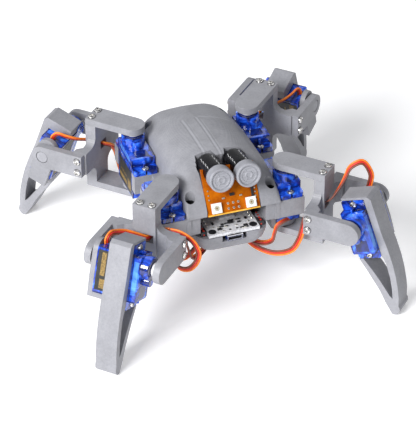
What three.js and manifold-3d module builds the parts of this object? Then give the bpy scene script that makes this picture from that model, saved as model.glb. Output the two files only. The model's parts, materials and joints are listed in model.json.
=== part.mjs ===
// Four-legged walking robot with eight micro servos: two joints a leg, a yawing hip and a pitching knee.
// Millimetres. +Z is up, the feet stand on z = 0, the front faces -Y and the robot's left is +X.
import * as THREE from 'three';
import { mergeVertices } from 'three/addons/utils/BufferGeometryUtils.js';
import Module from 'manifold-3d';

const wasm = await Module();
wasm.setup();

// ---- Driving dimensions -------------------------------------------------------------------------
const HIP_X = 30;              // hip axis, sideways from the middle
const HIP_Y = 26.5;            // hip axis, forwards or back from the middle
const YAW = 45;                // rest angle of every leg, from sideways
const TILT = 20;               // rest angle of every shin, foot outwards
const KNEE_U = 41.3;           // knee axis, out from the hip axis
const KNEE_Z = 50;             // knee axis above the ground
const ARM_W = 12;              // width of the arms, which end in half circles
const ARM_T = 3.5;             // thickness of the arms
const BRACKET_Z0 = 30.5;       // underside of the hip bracket
const BRACKET_Z1 = 70;         // top of the hip bracket's top arm
const POST_U0 = 18;            // inner face of the bracket's post
const POST_U1 = 23.6;          // outer face of the bracket's post
const FORK_IN = 16.2;          // inner faces of the fork arms, from the middle of the leg
const SCREW_PITCH = 6.2;       // between the two screws of each arm
const CHASSIS_Z0 = 43.6;
const CHASSIS_Z1 = 53.3;
const BODY_X = 23.6;           // half width of shell and chassis
const TRAY_X = 20.6;           // half width of the tray
const TRAY_Z0 = 31.6;
const TRAY_Z1 = 42.2;
const WALL = 2;

// Micro servo, 9 g class. Its shaft is the axis; the case runs from +5.9 to -16.9 past it.
const CASE_W = 12.2;
const CASE_NEAR = 5.9;
const CASE_FAR = 16.9;
const CASE_H = 22.7;
const TAB_NEAR = 10.6;
const TAB_FAR = 21.6;
const TAB_H0 = 15.9;
const TAB_H1 = 18.4;
const BOSS_H = 26.7;
const SHAFT_H = 29.2;
const HOLE_NEAR = 8.4;         // tab screw holes, from the shaft
const HOLE_FAR = 19.4;
const HIP_SERVO_Z = CHASSIS_Z1 - TAB_H0;             // underside of a hip servo's case
const KNEE_SERVO_W = 3.0 - TAB_H0;                   // same for a knee servo, across the leg

const GREY = 0x8e8f98;
const BLUE = 0x1746c8;
const WHITE = 0xeef0f4;
const BLACK = 0x141416;
const ORANGE = 0xd9700d;
const WIRE = 0xd8441c;
const CAP = 0xb4b7c2;

// ---- Solids -------------------------------------------------------------------------------------
const rad = THREE.MathUtils.degToRad;

function solid(geometry) {
  const g = new THREE.BufferGeometry();
  const flat = geometry.index ? geometry.toNonIndexed() : geometry;
  g.setAttribute('position', flat.getAttribute('position').clone());
  const m = mergeVertices(g, 1e-4);
  const made = new wasm.Manifold(new wasm.Mesh({
    numProp: 3,
    vertProperties: new Float32Array(m.getAttribute('position').array),
    triVerts: new Uint32Array(m.index.array),
  }));
  return made;
}

function mesh(name, body, colour, roughness = 0.55, metalness = 0) {
  const m = body.getMesh();
  const g = new THREE.BufferGeometry();
  g.setAttribute('position', new THREE.BufferAttribute(new Float32Array(m.vertProperties), 3));
  g.setIndex(new THREE.BufferAttribute(new Uint32Array(m.triVerts), 1));
  g.computeVertexNormals();
  const out = new THREE.Mesh(g, new THREE.MeshStandardMaterial({ color: colour, roughness, metalness }));
  out.name = name;
  return out;
}

function box(x0, x1, y0, y1, z0, z1) {
  const g = new THREE.BoxGeometry(x1 - x0, y1 - y0, z1 - z0);
  g.translate((x0 + x1) / 2, (y0 + y1) / 2, (z0 + z1) / 2);
  return solid(g);
}

// A cylinder along an axis 'x', 'y' or 'z', from a to b, through (p, q) in the other two in order.
function rod(axis, r, a, b, p = 0, q = 0, sides = 20) {
  const g = new THREE.CylinderGeometry(r, r, b - a, sides);
  if (axis === 'z') {
    g.rotateX(Math.PI / 2);
    g.translate(p, q, (a + b) / 2);
  } else if (axis === 'x') {
    g.rotateZ(Math.PI / 2);
    g.translate((a + b) / 2, p, q);
  } else {
    g.translate(p, (a + b) / 2, q);
  }
  return solid(g);
}

function outline(points) {
  return new THREE.Shape(points.map(([x, y]) => new THREE.Vector2(x, y)));
}

// A prism over an outline in (x, y), from z = a to z = b.
function prism(points, a, b) {
  const g = new THREE.ExtrudeGeometry(outline(points), { depth: b - a, bevelEnabled: false, steps: 1 });
  g.translate(0, 0, a);
  return solid(g);
}

// The same over an outline in (x, z), from y = a to y = b.
function prismXZ(points, a, b) {
  const g = new THREE.ExtrudeGeometry(outline(points), { depth: b - a, bevelEnabled: false, steps: 1 });
  g.rotateX(Math.PI / 2);
  g.translate(0, b, 0);
  return solid(g);
}

function arc(cx, cy, r, from, to, steps) {
  return Array.from({ length: steps + 1 }, (_, i) => {
    const a = rad(from + ((to - from) * i) / steps);
    return [cx + r * Math.cos(a), cy + r * Math.sin(a)];
  });
}

// A solid through rings of points that all have the same count, capped flat at both ends.
function loft(rings) {
  const n = rings[0].length;
  const at = [];
  rings.forEach((ring) => ring.forEach((p) => at.push(...p)));
  const tri = [];
  for (let k = 0; k + 1 < rings.length; k += 1) {
    for (let i = 0; i < n; i += 1) {
      const j = (i + 1) % n;
      tri.push(k * n + i, (k + 1) * n + i, (k + 1) * n + j);
      tri.push(k * n + i, (k + 1) * n + j, k * n + j);
    }
  }
  const last = (rings.length - 1) * n;
  for (let i = 1; i + 1 < n; i += 1) {
    tri.push(0, i, i + 1);
    tri.push(last, last + i + 1, last + i);
  }
  const g = new THREE.BufferGeometry();
  g.setAttribute('position', new THREE.Float32BufferAttribute(at, 3));
  g.setIndex(tri);
  return solid(g);
}

// A round cord through the given points.
function cord(points, diameter, steps) {
  const path = new THREE.CatmullRomCurve3(points.map((p) => new THREE.Vector3(...p)), false, 'centripetal');
  const ring = new THREE.Shape();
  ring.absarc(0, 0, diameter / 2, 0, Math.PI * 2, false);
  const g = new THREE.ExtrudeGeometry(ring, { steps, extrudePath: path, curveSegments: 4, bevelEnabled: false });
  return solid(g);
}

// ---- Servo: case bottom at z = 0, shaft along +z at the origin, long side along y ----------------
function servo() {
  const half = CASE_W / 2;
  let s = box(-half, half, -CASE_FAR, CASE_NEAR, 0, CASE_H);
  s = s.add(box(-half, half, -TAB_FAR, TAB_NEAR, TAB_H0, TAB_H1));
  s = s.add(rod('z', 5.9, CASE_H - 0.1, BOSS_H, 0, 0, 20));
  s = s.add(rod('z', 2.6, CASE_H - 0.1, BOSS_H, 0, -6.4, 12));
  s = s.add(rod('z', 2.3, BOSS_H - 0.1, SHAFT_H, 0, 0, 10));
  for (const [y, end] of [[HOLE_NEAR, TAB_NEAR], [-HOLE_FAR, -TAB_FAR]]) {
    s = s.subtract(rod('z', 1.05, TAB_H0 - 1, TAB_H1 + 1, 0, y, 8));
    s = s.subtract(box(-0.55, 0.55, Math.min(y, end) - 0.2, Math.max(y, end) + 0.2, TAB_H0 - 1, TAB_H1 + 1));
  }
  return s;
}

// The horn's hub over the shaft and its two-ended blade, which sinks into an arm.
const HUB_H0 = BOSS_H + 0.4;
const BLADE_H0 = BOSS_H + 2.1;
const BLADE_H1 = BLADE_H0 + 1.5;
function bladeOutline(grow) {
  const r = 2.2 + grow;
  return [...arc(8.2, 0, r, -90, 90, 5), ...arc(-3, 0, r, 90, 270, 5)];
}

function horn() {
  const hub = rod('z', 3.4, HUB_H0, BLADE_H0 + 0.1, 0, 0, 16);
  const blade = prism(bladeOutline(0), BLADE_H0, BLADE_H1);
  return hub.add(blade).subtract(rod('z', 2.6, HUB_H0 - 1, SHAFT_H + 0.2, 0, 0, 10));
}

// ---- Arms: flat plates with one half-circle end at the pivot, two screws at the other ------------
function armPlate(u0, u1, pivot, screws, z0, z1) {
  const r = ARM_W / 2;
  const out = pivot === 'low'
    ? [...arc(u0 + r, 0, r, 90, 270, 10), [u1, -r], [u1, r]]
    : [...arc(u1 - r, 0, r, -90, 90, 10), [u0, r], [u0, -r]];
  let a = prism(out, z0, z1);
  for (const s of [-1, 1]) {
    a = a.subtract(rod('z', 1.05, z0 - 1, z1 + 1, screws, (s * SCREW_PITCH) / 2, 8));
  }
  return a;
}

// The shin, drawn in (u, v) about the knee axis with u outwards and v up, and w across the leg.
const SHIN_W = 5.5;
function shin() {
  const outer = [
    [-5.6, 12], [8.2, 12], [10, 10.2], [10, -8], [10.6, -18], [10.7, -26], [10.2, -33], [9.2, -40],
    [8, -45.5], ...arc(3.1, -50.85, 3.6, 20, -110, 8), [0.2, -47], [-0.6, -41], [-2.2, -35], [-4.2, -28], [-6.2, -21.8],
    [-6.2, -17.3], [6.3, -17.3], [6.3, 6.3], [-5.6, 6.3],
  ].reverse();
  const window = [[6.6, -21.6], [7.3, -26], [7, -33], [6, -39.5], [4.7, -45.2], [3.6, -43.5], [1.6, -36.5], [-0.4, -30.5],
    [-2.6, -25], [-4.1, -21.6]];
  let s = prism(outer, -SHIN_W, SHIN_W).subtract(prism(window, -SHIN_W - 1, SHIN_W + 1));
  // Seats for the servo's tabs.
  s = s.subtract(box(-7, 6.3, 6, TAB_NEAR + 0.2, 3.0, SHIN_W + 1));
  s = s.subtract(box(-7, 6.3, -TAB_FAR - 0.2, -17, 3.0, SHIN_W + 1));
  for (const v of [HOLE_NEAR, -HOLE_FAR]) {
    s = s.subtract(rod('z', 0.8, -3, 4, 0, v, 6));
  }
  // Cheek behind the servo, its pin, and the wall that joins it to the frame.
  const cheek = [[-5.3, -19.9], [4.6, -19.9], [5.3, -10], [5.3, 3], ...arc(0, 3, 5.3, 20, 160, 6), [-5.3, 3]];
  s = s.add(prism(cheek, -15.8, -13.2));
  s = s.add(box(-5.3, 4.6, -19.9, -17.3, -15.8, -SHIN_W + 0.1));
  s = s.add(rod('z', 3, -19.6, -15.7, 0, 0, 16));
  return s;
}

// ---- Hip bracket: post, bottom arm and crossbar, along u from the hip axis -----------------------
function bracket() {
  const half = ARM_W / 2;
  let b = box(POST_U0, POST_U1, -half, half, BRACKET_Z0, BRACKET_Z1 - ARM_T);
  const bottom = [...arc(0, 0, half, 90, 270, 10), [POST_U0 + 0.5, -half], [POST_U0 + 0.5, half]];
  b = b.add(prism(bottom, BRACKET_Z0, BRACKET_Z0 + ARM_T));
  b = b.add(rod('z', 2.6, BRACKET_Z0 + 1, BRACKET_Z0 + ARM_T + 2.8, 0, 0, 12));
  // Crossbar between the fork arms, with square ends and 45 degree gussets.
  const z0 = KNEE_Z - half;
  const z1 = KNEE_Z + half;
  const w = FORK_IN;
  const bar = [[POST_U0, -w], [POST_U1 + 1.4, -w], [POST_U1 + 1.4, -w + 2.6], [POST_U1 - 1.2, -w + 5.2],
    [POST_U1 - 1.2, w - 5.2], [POST_U1 + 1.4, w - 2.6], [POST_U1 + 1.4, w], [POST_U0, w]];
  b = b.add(prism(bar, z0, z1));
  // Concave fillets where the post runs into the crossbar, above and below.
  for (const s of [-1, 1]) {
    const top = [[half - 0.1, z1 - 0.1], [half + 4.5, z1 - 0.1], ...arc(half + 4.5, z1 + 4.5, 4.5, 270, 180, 4),
      [half - 0.1, z1 + 4.5]];
    const low = [[half - 0.1, z0 + 0.1], [half - 0.1, z0 - 4.5], ...arc(half + 4.5, z0 - 4.5, 4.5, 180, 90, 4),
      [half + 4.5, z0 + 0.1]];
    for (const f of [top, low]) {
      const pts = s > 0 ? f : f.map(([a, c]) => [-a, c]);
      const g = new THREE.ExtrudeGeometry(outline(pts), { depth: POST_U1 - 1.2 - POST_U0, bevelEnabled: false, steps: 1 });
      g.rotateX(Math.PI / 2);
      g.rotateZ(Math.PI / 2);
      g.translate(POST_U0, 0, 0);
      b = b.add(solid(g));
    }
  }
  // Window for the knee servo's lead, through post and crossbar, and screw pilots.
  b = b.subtract(box(POST_U0 - 1, POST_U1 + 1, -0.8, 4.8, KNEE_Z + 0.2, KNEE_Z + 4.6));
  for (const s of [-1, 1]) {
    b = b.subtract(rod('z', 0.8, BRACKET_Z1 - ARM_T - 6, BRACKET_Z1, 21.3, (s * SCREW_PITCH) / 2, 6));
    for (const side of [-1, 1]) {
      const a = side > 0 ? w - 6 : -w - 1;
      b = b.subtract(rod('y', 0.8, a, a + 7, 21.2, KNEE_Z + (s * SCREW_PITCH) / 2, 6));
    }
  }
  return b;
}

// ---- Shell ---------------------------------------------------------------------------------------
// Stations along y: [y, side height, shoulder, upper shoulder, outer crown, inner crown, crest].
const SHELL = [
  [-38.6, 54.6, 55.2, 55.6, 55.8, 55.9, 56],
  [-35.5, 57.8, 59, 59.6, 59.9, 60, 60.2],
  [-30, 60.2, 63, 64.4, 64.9, 65.2, 65.4],
  [-24, 60.6, 64.8, 67.6, 68.9, 69.5, 69.8],
  [-17, 60.6, 65.4, 69.2, 71.4, 72.6, 73.2],
  [-5, 60.4, 65.2, 69.2, 71.6, 72.9, 73.5],
  [10, 59.8, 64.4, 68.2, 70.8, 72.1, 72.8],
  [20, 58.8, 63.2, 66.9, 69.5, 70.8, 71.6],
  [29.5, 57.4, 61.4, 65, 67.6, 68.8, 69.5],
  [36.6, 56.2, 60, 63.6, 66, 67, 67.6],
  [40, 55.4, 58.8, 62.6, 65, 65.8, 66.2],
];
const SECTION_X = [BODY_X, BODY_X - 1.3, 18.4, 13, 8, 0];
function shellSolid(inset, drop) {
  const rings = SHELL.map(([y, ...tops]) => {
    const end = y < 0 ? -1 : 1;
    const yy = Math.abs(y) > 34 ? y - end * inset : y;
    const half = SECTION_X.map((x, i) => [Math.max(x - inset, 0), Math.max(tops[i] - inset, CHASSIS_Z1 + 0.3 - drop)]);
    const bow = (x) => (y > 34 ? -2 * (x / BODY_X) ** 4 : 0);
    const right = half.map(([x, z]) => [x, yy + bow(x), z]);
    const left = half.slice(0, -1).reverse().map(([x, z]) => [-x, yy + bow(x), z]);
    const x0 = BODY_X - inset;
    const z0 = CHASSIS_Z1 + 0.1 - drop;
    return [[x0, yy + bow(x0), z0], ...right, ...left, [-x0, yy + bow(x0), z0]];
  });
  return loft(rings);
}

// Eye barrels: pointing forwards, raised a little.
const EYE_X = 6.8;
const EYE_Y = -40.4;           // front of the caps
const EYE_Z = 74;
const CAP_R = 6.2;
const BARREL_R = 5.3;
const EYE_RISE = 11;
function alongEye(x, r, a, b, sides) {
  const g = new THREE.CylinderGeometry(r, r, b - a, sides);
  g.translate(0, (a + b) / 2, 0);
  g.rotateX(-rad(EYE_RISE));
  g.translate(x, EYE_Y, EYE_Z);
  return solid(g);
}

const SHELL_SCREWS = [[-20.2, -32.4], [20.2, -32.4], [-20.2, 34.4], [20.2, 34.4]];
function topShell() {
  const outer = shellSolid(0, 0);
  let s = outer.subtract(shellSolid(WALL, 2));
  for (const [x, y] of SHELL_SCREWS) {
    s = s.add(rod('z', 3.3, CHASSIS_Z1 + 0.1, 70, x, y, 12).intersect(outer));
  }
  // Front opening for the sensor board, scooped further back around each barrel.
  s = s.subtract(prism([[-14, -45], [14, -45], [12.6, -17.2], [-12.6, -17.2]], 50, 80));
  for (const x of [-EYE_X, EYE_X]) {
    s = s.subtract(alongEye(x, CAP_R + 0.2, -2, 21, 20));
    s = s.subtract(alongEye(x, BARREL_R + 0.5, -2, 27, 20));
  }
  for (const [x, y] of SHELL_SCREWS) {
    s = s.subtract(rod('z', 2.2, 57, 80, x, y, 12));
    s = s.subtract(rod('z', 1.2, 50, 60, x, y, 8));
  }
  return s;
}

// ---- Chassis: a ring between shell and tray, with a seat for every hip servo ----------------------
function bowed(half, y0, y1, bow, n = 6) {
  const back = Array.from({ length: n + 1 }, (_, i) => {
    const x = half - (2 * half * i) / n;
    return [x, y1 - bow * (x / half) ** 4];
  });
  return [[-half, y0], [half, y0], ...back];
}

function chassis() {
  const z0 = CHASSIS_Z0;
  const z1 = CHASSIS_Z1;
  let c = prism(bowed(BODY_X, -37.8, 40, 2), z0, z1);
  c = c.subtract(prism(bowed(BODY_X - 2.2, -45, 37.8, 2), z0 - 1, z1 + 1));
  for (const [x, y] of SHELL_SCREWS) {
    const o = Math.sign(x);
    const e = Math.sign(y);
    const xa = Math.min(o * 16.6, o * (BODY_X - 1));
    const ya = Math.min(e * 29.4, e * 37.2);
    c = c.add(box(xa, xa + BODY_X - 17.6, ya, ya + 7.8, z0, z1));
  }
  // Front corners are joined by a low rail under the control board's level.
  for (const sx of [-1, 1]) {
    for (const sy of [-1, 1]) {
      const x = (a, b) => (sx > 0 ? [a, b] : [-b, -a]);
      const y = (a, b) => (sy > 0 ? [a, b] : [-b, -a]);
      const hx = HIP_X + CASE_W / 2 + 0.3;
      // Ledge under the outer tab and ledge under the inner tab.
      c = c.add(box(...x(BODY_X - 1, hx), ...y(HIP_Y + CASE_NEAR + 0.3, HIP_Y + TAB_NEAR + 0.5), z0, z1));
      c = c.add(box(...x(BODY_X - 1, hx), ...y(HIP_Y - TAB_FAR - 0.5, HIP_Y - CASE_FAR - 0.3), z0, z1));
      // Tongue under the servo for the bracket's lower pin.
      c = c.add(box(...x(BODY_X - 2.2, BODY_X), ...y(HIP_Y - 6, HIP_Y + 6), 34.6, z0 + 1));
      const tongue = [...arc(0, 0, 6, -90, 90, 8), [BODY_X - 1 - HIP_X, 6], [BODY_X - 1 - HIP_X, -6]];
      const placed = tongue.map(([a, b]) => [sx * (a + HIP_X), sy * (b + HIP_Y)]);
      const ring = sx * sy > 0 ? placed : placed.reverse();
      c = c.add(prism(ring, 34.6, 37));
      c = c.subtract(rod('z', 2.85, 34, 37.4, sx * HIP_X, sy * HIP_Y, 12));
      for (const d of [HOLE_NEAR, -HOLE_FAR]) {
        c = c.subtract(rod('z', 0.8, z1 - 6, z1 + 1, sx * HIP_X, sy * (HIP_Y + d), 6));
      }
    }
    // The recessed wall between the two inner ledges.
    const a = sx > 0 ? BODY_X - 1 : -27.5;
    c = c.add(box(a, a + 28.5 - BODY_X, -5.2, 5.2, z0, z1));
  }
  for (const [x, y] of SHELL_SCREWS) {
    c = c.subtract(rod('z', 0.9, z0 - 1, z1 + 1, x, y, 6));
  }
  return c;
}

// ---- Tray ----------------------------------------------------------------------------------------
const TRAY_FRONT = -39.4;
const TRAY_BACK = 38.6;
const LEAD_HOLES = [[-9.8, 24], [9.8, 24], [-9.8, -24], [9.8, -24]];
function trayOutline(inset) {
  const x = TRAY_X - inset;
  const f = x - 2.4;             // the front end is a little narrower
  const y0 = TRAY_FRONT + inset;
  const y1 = TRAY_BACK - inset;
  const r = 7 - inset / 2;
  return [...arc(-f + r, y0 + r, r, 180, 270, 5), ...arc(f - r, y0 + r, r, 270, 360, 5), [x, -26],
    ...arc(x - r, y1 - r, r, 0, 90, 5), ...arc(-x + r, y1 - r, r, 90, 180, 5), [-x, -26]].reverse();
}

const BOARD_POSTS = [[-15, -12], [15, -12], [-15, 12], [15, 12]];
const TRAY_BOSSES = [[-15.8, -31.4], [15.8, -31.4], [-17.2, 33.4], [17.2, 33.4]];
function tray() {
  const bowl = (grow, z0) => loft([[3.2, z0], [1.1, z0 + 3], [0, z0 + 7], [0, TRAY_Z1 + (grow > 0 ? 1 : 0)]]
    .map(([inset, z]) => trayOutline(inset + grow).map(([x, y]) => [x, y, z])));
  let t = bowl(0, TRAY_Z0).subtract(bowl(WALL, TRAY_Z0 + 1.8));
  t = t.subtract(box(-30, 30, -45, -33, 40.6, 45));
  t = t.subtract(box(-6.2, 6.2, -45, -36, 37.4, 45));
  for (const [x, y] of TRAY_BOSSES) {
    t = t.add(rod('z', 2.6, TRAY_Z0 + 3, CHASSIS_Z0, x, y, 12));
  }
  for (const [x, y] of BOARD_POSTS) {
    t = t.add(rod('z', 1.8, TRAY_Z0 + 1, 36.6, x, y, 8));
  }
  for (const [x, y] of LEAD_HOLES) {
    const o = [...arc(0, 3, 3.3, 0, 180, 6), ...arc(0, -3, 3.3, 180, 360, 6)].map(([a, b]) => [a + x, b + y]);
    t = t.subtract(prism(o, TRAY_Z0 - 1, TRAY_Z0 + 3));
  }
  return t;
}

// ---- Electronics ---------------------------------------------------------------------------------
function carrier() {
  let c = prism([[-12.8, -34.2], [12.8, -34.2], [14.2, -31], [16.6, -25], [16.6, 16], [-16.6, 16], [-16.6, -25],
    [-14.2, -31]], 36.6, 38.2);
  for (const s of [-1, 1]) {
    c = c.add(box(s * 11.4 - 1.25, s * 11.4 + 1.25, -33, 5, 38.1, 40.8));
  }
  c = c.add(box(-16.6, -8.4, 11.2, 15.6, 38.1, 42)).add(box(8.4, 16.6, 11.2, 15.6, 38.1, 42));
  for (const [x, y] of TRAY_BOSSES) {
    c = c.subtract(rod('z', 3, 33, 45, x, y, 10));
  }
  return c;
}

function control() {
  let b = box(-13, 13, -39.1, 9.5, 40.9, 42.5);
  for (const s of [-1, 1]) {
    b = b.subtract(rod('z', 1.5, 40, 44, s * 10.4, -36.5, 10));
    b = b.subtract(rod('z', 1.5, 40, 44, s * 10.4, 6.9, 10));
  }
  // Socket on the underside of the board's front edge, open to the front.
  b = b.add(box(-3.9, 3.9, -40.4, -34.8, 38.1, 41));
  b = b.subtract(box(-3.4, 3.4, -41, -36.5, 38.6, 40.4));
  // Chip and regulator on the upper side.
  b = b.add(box(-4, 4, -28, -20, 42.4, 43.6)).add(box(-6, 6, -14, 4, 42.4, 44.6));
  return b;
}

const BOARD_TILT = 60;
function tilted(g) {
  g.rotateX(rad(BOARD_TILT));
  g.translate(0, -39, 53.4);
  return solid(g);
}

function sensorBoard() {
  const g = new THREE.BoxGeometry(26.4, 23, 1.6);
  g.translate(0, 11.5, -0.8);
  let b = tilted(g);
  for (const x of [-EYE_X, EYE_X]) {
    b = b.subtract(alongEye(x, BARREL_R + 0.2, -5, 40, 20));
  }
  return b;
}

function led(x) {
  const g = new THREE.BoxGeometry(5, 5, 1.5);
  g.translate(x, 3.6, 0.75);
  return tilted(g);
}

// ---- Assembly ------------------------------------------------------------------------------------
const robot = new THREE.Group();
robot.name = 'walking_robot';
robot.add(mesh('chassis_frame', chassis(), GREY));
robot.add(mesh('top_shell', topShell(), GREY));
robot.add(mesh('bottom_tray', tray(), GREY));
robot.add(mesh('carrier_board', carrier(), BLACK));
robot.add(mesh('control_board', control(), WHITE));
robot.add(mesh('sensor_board', sensorBoard(), ORANGE));
for (const [side, x] of [['right', -1], ['left', 1]]) {
  robot.add(mesh(`eye_barrel_${side}`, alongEye(x * EYE_X, BARREL_R, 6.1, 25.5, 20), BLACK, 0.2));
  robot.add(mesh(`eye_cap_${side}`, alongEye(x * EYE_X, CAP_R, 0, 6, 24), CAP));
  robot.add(mesh(`led_${side}`, led(x * 8.7), WHITE));
}

const upright = new THREE.Matrix4();
function place(body, matrix) {
  return body.transform([...matrix.elements]);
}

function legGroup(name, sx, sy) {
  const leg = new THREE.Group();
  leg.name = name;
  leg.position.set(sx * HIP_X, sy * HIP_Y, 0);
  leg.scale.set(sx, sy, 1);
  const hipServo = place(servo(), upright.clone().makeTranslation(0, 0, HIP_SERVO_Z));
  leg.add(mesh(`${name}_hip_servo`, hipServo, BLUE, 0.3));

  const yaw = new THREE.Group();
  yaw.rotation.z = rad(YAW);
  leg.add(yaw);
  const hipHorn = place(horn(), upright.clone().makeTranslation(0, 0, HIP_SERVO_Z));
  yaw.add(mesh(`${name}_hip_horn`, hipHorn, WHITE));
  const topArm = armPlate(-ARM_W / 2, POST_U1, 'low', 21.3, BRACKET_Z1 - ARM_T + 0.02, BRACKET_Z1)
    .subtract(prism(bladeOutline(0.2), 60, HIP_SERVO_Z + BLADE_H1 + 0.2));
  yaw.add(mesh(`${name}_hip_top_arm`, topArm, GREY));
  yaw.add(mesh(`${name}_hip_bracket`, bracket(), GREY));

  // Fork arms lie across the leg: a plate drawn flat, stood on edge.
  const plate = () => armPlate(18.9, KNEE_U + ARM_W / 2, 'high', 21.2, 0, ARM_T);
  const stand = upright.clone().makeRotationX(Math.PI / 2);
  const hornArm = place(plate(), stand.clone().setPosition(0, FORK_IN + ARM_T + 0.02, KNEE_Z));
  return { leg, yaw, hornArm, plate, stand };
}

// Knee leads in leg coordinates (u out, w across, z up). The upper part runs from the servo's end
// face through the post's window, the lower part from there down; both end in the tray.
const UPPER_LOW = [[39.2, -11.3, 55.9], [39, -11.3, 57.8], [37, -10.6, 59.8], [33, -9.3, 58.7], [29, -6.6, 56.8],
  [26.2, -2, 54.6], [23.9, 1.6, 52.8], [20.6, 2.2, 52.4]];
const UPPER_HIGH = [[39.1, -11.4, 56.5], [39.9, -11.8, 60.6], [40.1, -12, 65.4], [36.2, -9.8, 72.6], [31.4, -7, 70],
  [29.6, -5, 64.8], [27.6, -2.4, 59.2], [24.5, 1.4, 53.8], [20.8, 2.2, 52.3]];
const UPPER_END = [[17.4, 2.6, 51.9], [16.1, 4.6, 50.6], [15.8, 7, 48.4]];
const UPPER_ARCHED = [[17.3, 3.2, 52.7], [16.2, 6.2, 53.7], [15.6, 9.5, 54.2]];
const LOWER = [[15.8, 7.3, 48.1], [15.3, 9.9, 43], [13.2, 10.6, 33], [8.6, 10, 24.5], [-0.7, 10.6, 20.5]];
const LOWER_ARCHED = [[15.5, 9.9, 54.2], [15, 14.3, 54], [14.5, 21, 50.7], [14.5, 24.1, 44.9], [14.5, 22.6, 38.7],
  [14.4, 18.4, 33.6], [13.8, 13.6, 32.4], [10.4, 9.8, 32.6], [4, 8.8, 30], [-2.7, 9.2, 27]];
const ROUTES = {
  front_left: [[...UPPER_HIGH, ...UPPER_END], LOWER],
  front_right: [[...UPPER_LOW, ...UPPER_ARCHED], LOWER_ARCHED],
  rear_left: [[...UPPER_LOW, ...UPPER_END], LOWER],
  rear_right: [[...UPPER_LOW, ...UPPER_END], LOWER],
};
const LEGS = [['front_left', 1, -1], ['front_right', -1, -1], ['rear_left', 1, 1], ['rear_right', -1, 1]];
for (const [name, sx, sy] of LEGS) {
  const { leg, yaw, hornArm, plate, stand } = legGroup(name, sx, sy);
  const idlerArm = place(plate(), stand.clone().setPosition(0, -FORK_IN - 0.02, KNEE_Z))
    .subtract(rod('y', 3.25, -25, -10, KNEE_U, KNEE_Z, 24));

  // Knee parts are drawn with u = x, v = y and w = z, then stood up about the knee axis and tilted.
  const shinFrame = new THREE.Matrix4()
    .makeTranslation(KNEE_U, 0, KNEE_Z)
    .multiply(new THREE.Matrix4().makeRotationY(-rad(TILT)))
    .multiply(new THREE.Matrix4().makeBasis(
      new THREE.Vector3(1, 0, 0), new THREE.Vector3(0, 0, 1), new THREE.Vector3(0, -1, 0)));
  const flip = new THREE.Matrix4().makeScale(1, 1, -1);
  const toLeg = shinFrame.clone().multiply(flip);
  const kneeServo = place(servo(), new THREE.Matrix4().makeTranslation(0, 0, KNEE_SERVO_W));
  const foot = box(0, 90, -20, 20, -10, 0);
  yaw.add(mesh(`${name}_tibia`, place(shin(), toLeg).subtract(foot), GREY));
  yaw.add(mesh(`${name}_knee_servo`, place(kneeServo, toLeg), BLUE, 0.3));

  const hornFrame = new THREE.Matrix4().makeTranslation(KNEE_U, 0, KNEE_Z).multiply(new THREE.Matrix4().makeBasis(
    new THREE.Vector3(-1, 0, 0), new THREE.Vector3(0, 0, 1), new THREE.Vector3(0, 1, 0)));
  const kneeHorn = place(horn(), new THREE.Matrix4().makeTranslation(0, 0, KNEE_SERVO_W));
  yaw.add(mesh(`${name}_knee_horn`, place(kneeHorn, hornFrame), WHITE));
  const pocket = place(prism(bladeOutline(0.2), 10, KNEE_SERVO_W + BLADE_H1 + 0.2), hornFrame);
  yaw.add(mesh(`${name}_fork_horn_arm`, hornArm.subtract(pocket), GREY));
  yaw.add(mesh(`${name}_fork_idler_arm`, idlerArm, GREY));

  // Leads: one from the knee servo to the post's window, one on from there into the tray, and the
  // hip servo's own lead, all plain cords here.
  const [upper, under] = ROUTES[name];
  yaw.add(mesh(`${name}_knee_lead_upper`, cord(upper, 2.6, 26), WIRE));
  robot.add(leg);

  const reach = (u, w, z) => {
    const a = rad(YAW);
    return [sx * (HIP_X + u * Math.cos(a) - w * Math.sin(a)), sy * (HIP_Y + u * Math.sin(a) + w * Math.cos(a)), z];
  };
  const near = (x, y, z) => [sx * (HIP_X + x), sy * (HIP_Y + y), z];
  const dip = name === 'front_right' ? [[14.6, 24.2, 26.4], [11.6, 21.9, 28.8]] : [[13.8, 25, 22.5], [11.4, 21.9, 28]];
  const lower = [...under.map((p) => reach(...p)), ...[...dip, [11.2, 21.6, 33.4]].map(([x, y, z]) => [sx * x, sy * y, z])];
  robot.add(mesh(`${name}_knee_lead_lower`, cord(lower, 2.6, 28), WIRE));
  const hip = [near(-0.4, 7.7, 39.6), near(-3.4, 8.4, 39.4), near(-6.6, 8.7, 37.6), near(-8, 8.8, 33.6),
    near(-9.2, 8.6, 29.4), [sx * 16.6, sy * 32, 26.8], [sx * 11, sy * 28, 28.6], [sx * 9, sy * 26.2, 33.4]];
  robot.add(mesh(`${name}_hip_lead`, cord(hip, 2.6, 14), WIRE));
}

export default robot;
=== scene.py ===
import json
import math

import bmesh
import bpy
from mathutils import Matrix, Vector

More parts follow.
